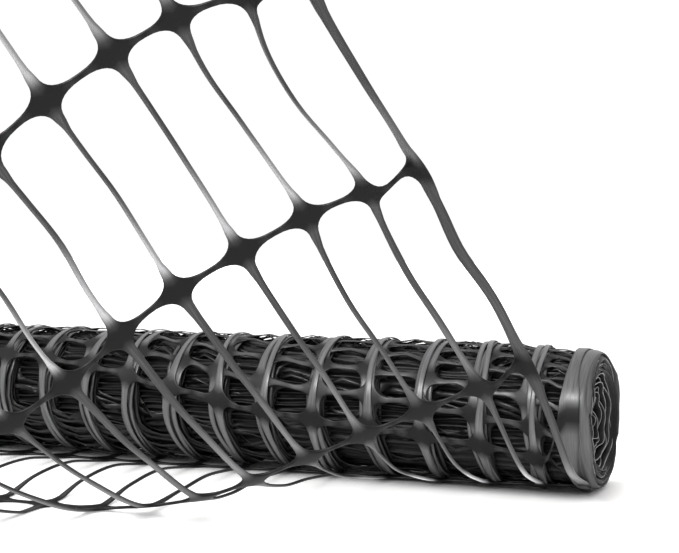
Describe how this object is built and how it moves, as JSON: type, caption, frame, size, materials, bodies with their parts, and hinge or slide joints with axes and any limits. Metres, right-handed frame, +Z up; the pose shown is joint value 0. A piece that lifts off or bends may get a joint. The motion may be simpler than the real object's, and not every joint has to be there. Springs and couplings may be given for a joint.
{
  "type": "roll of safety fencing",
  "caption": "Roll of black plastic barrier net lying on its side, its loose end pulled out over the floor and lifted at a corner.",
  "frame": {"origin": "middle of the roll's small flat spot, on the floor under the roll's axis", "axes": "+X along the roll towards the end where the net is lifted, -Y the way the loose end is pulled out, +Z up"},
  "size_m": [1.012, 0.7294, 0.4378],
  "materials": {
    "wound_net": "black polyethylene net, wound in many layers, satin",
    "net": "extruded and stretched black polyethylene net, satin"
  },
  "bodies": {
    "root": {"roll": "wound_net", "loose_end": "net"}
  },
  "joints": []
}
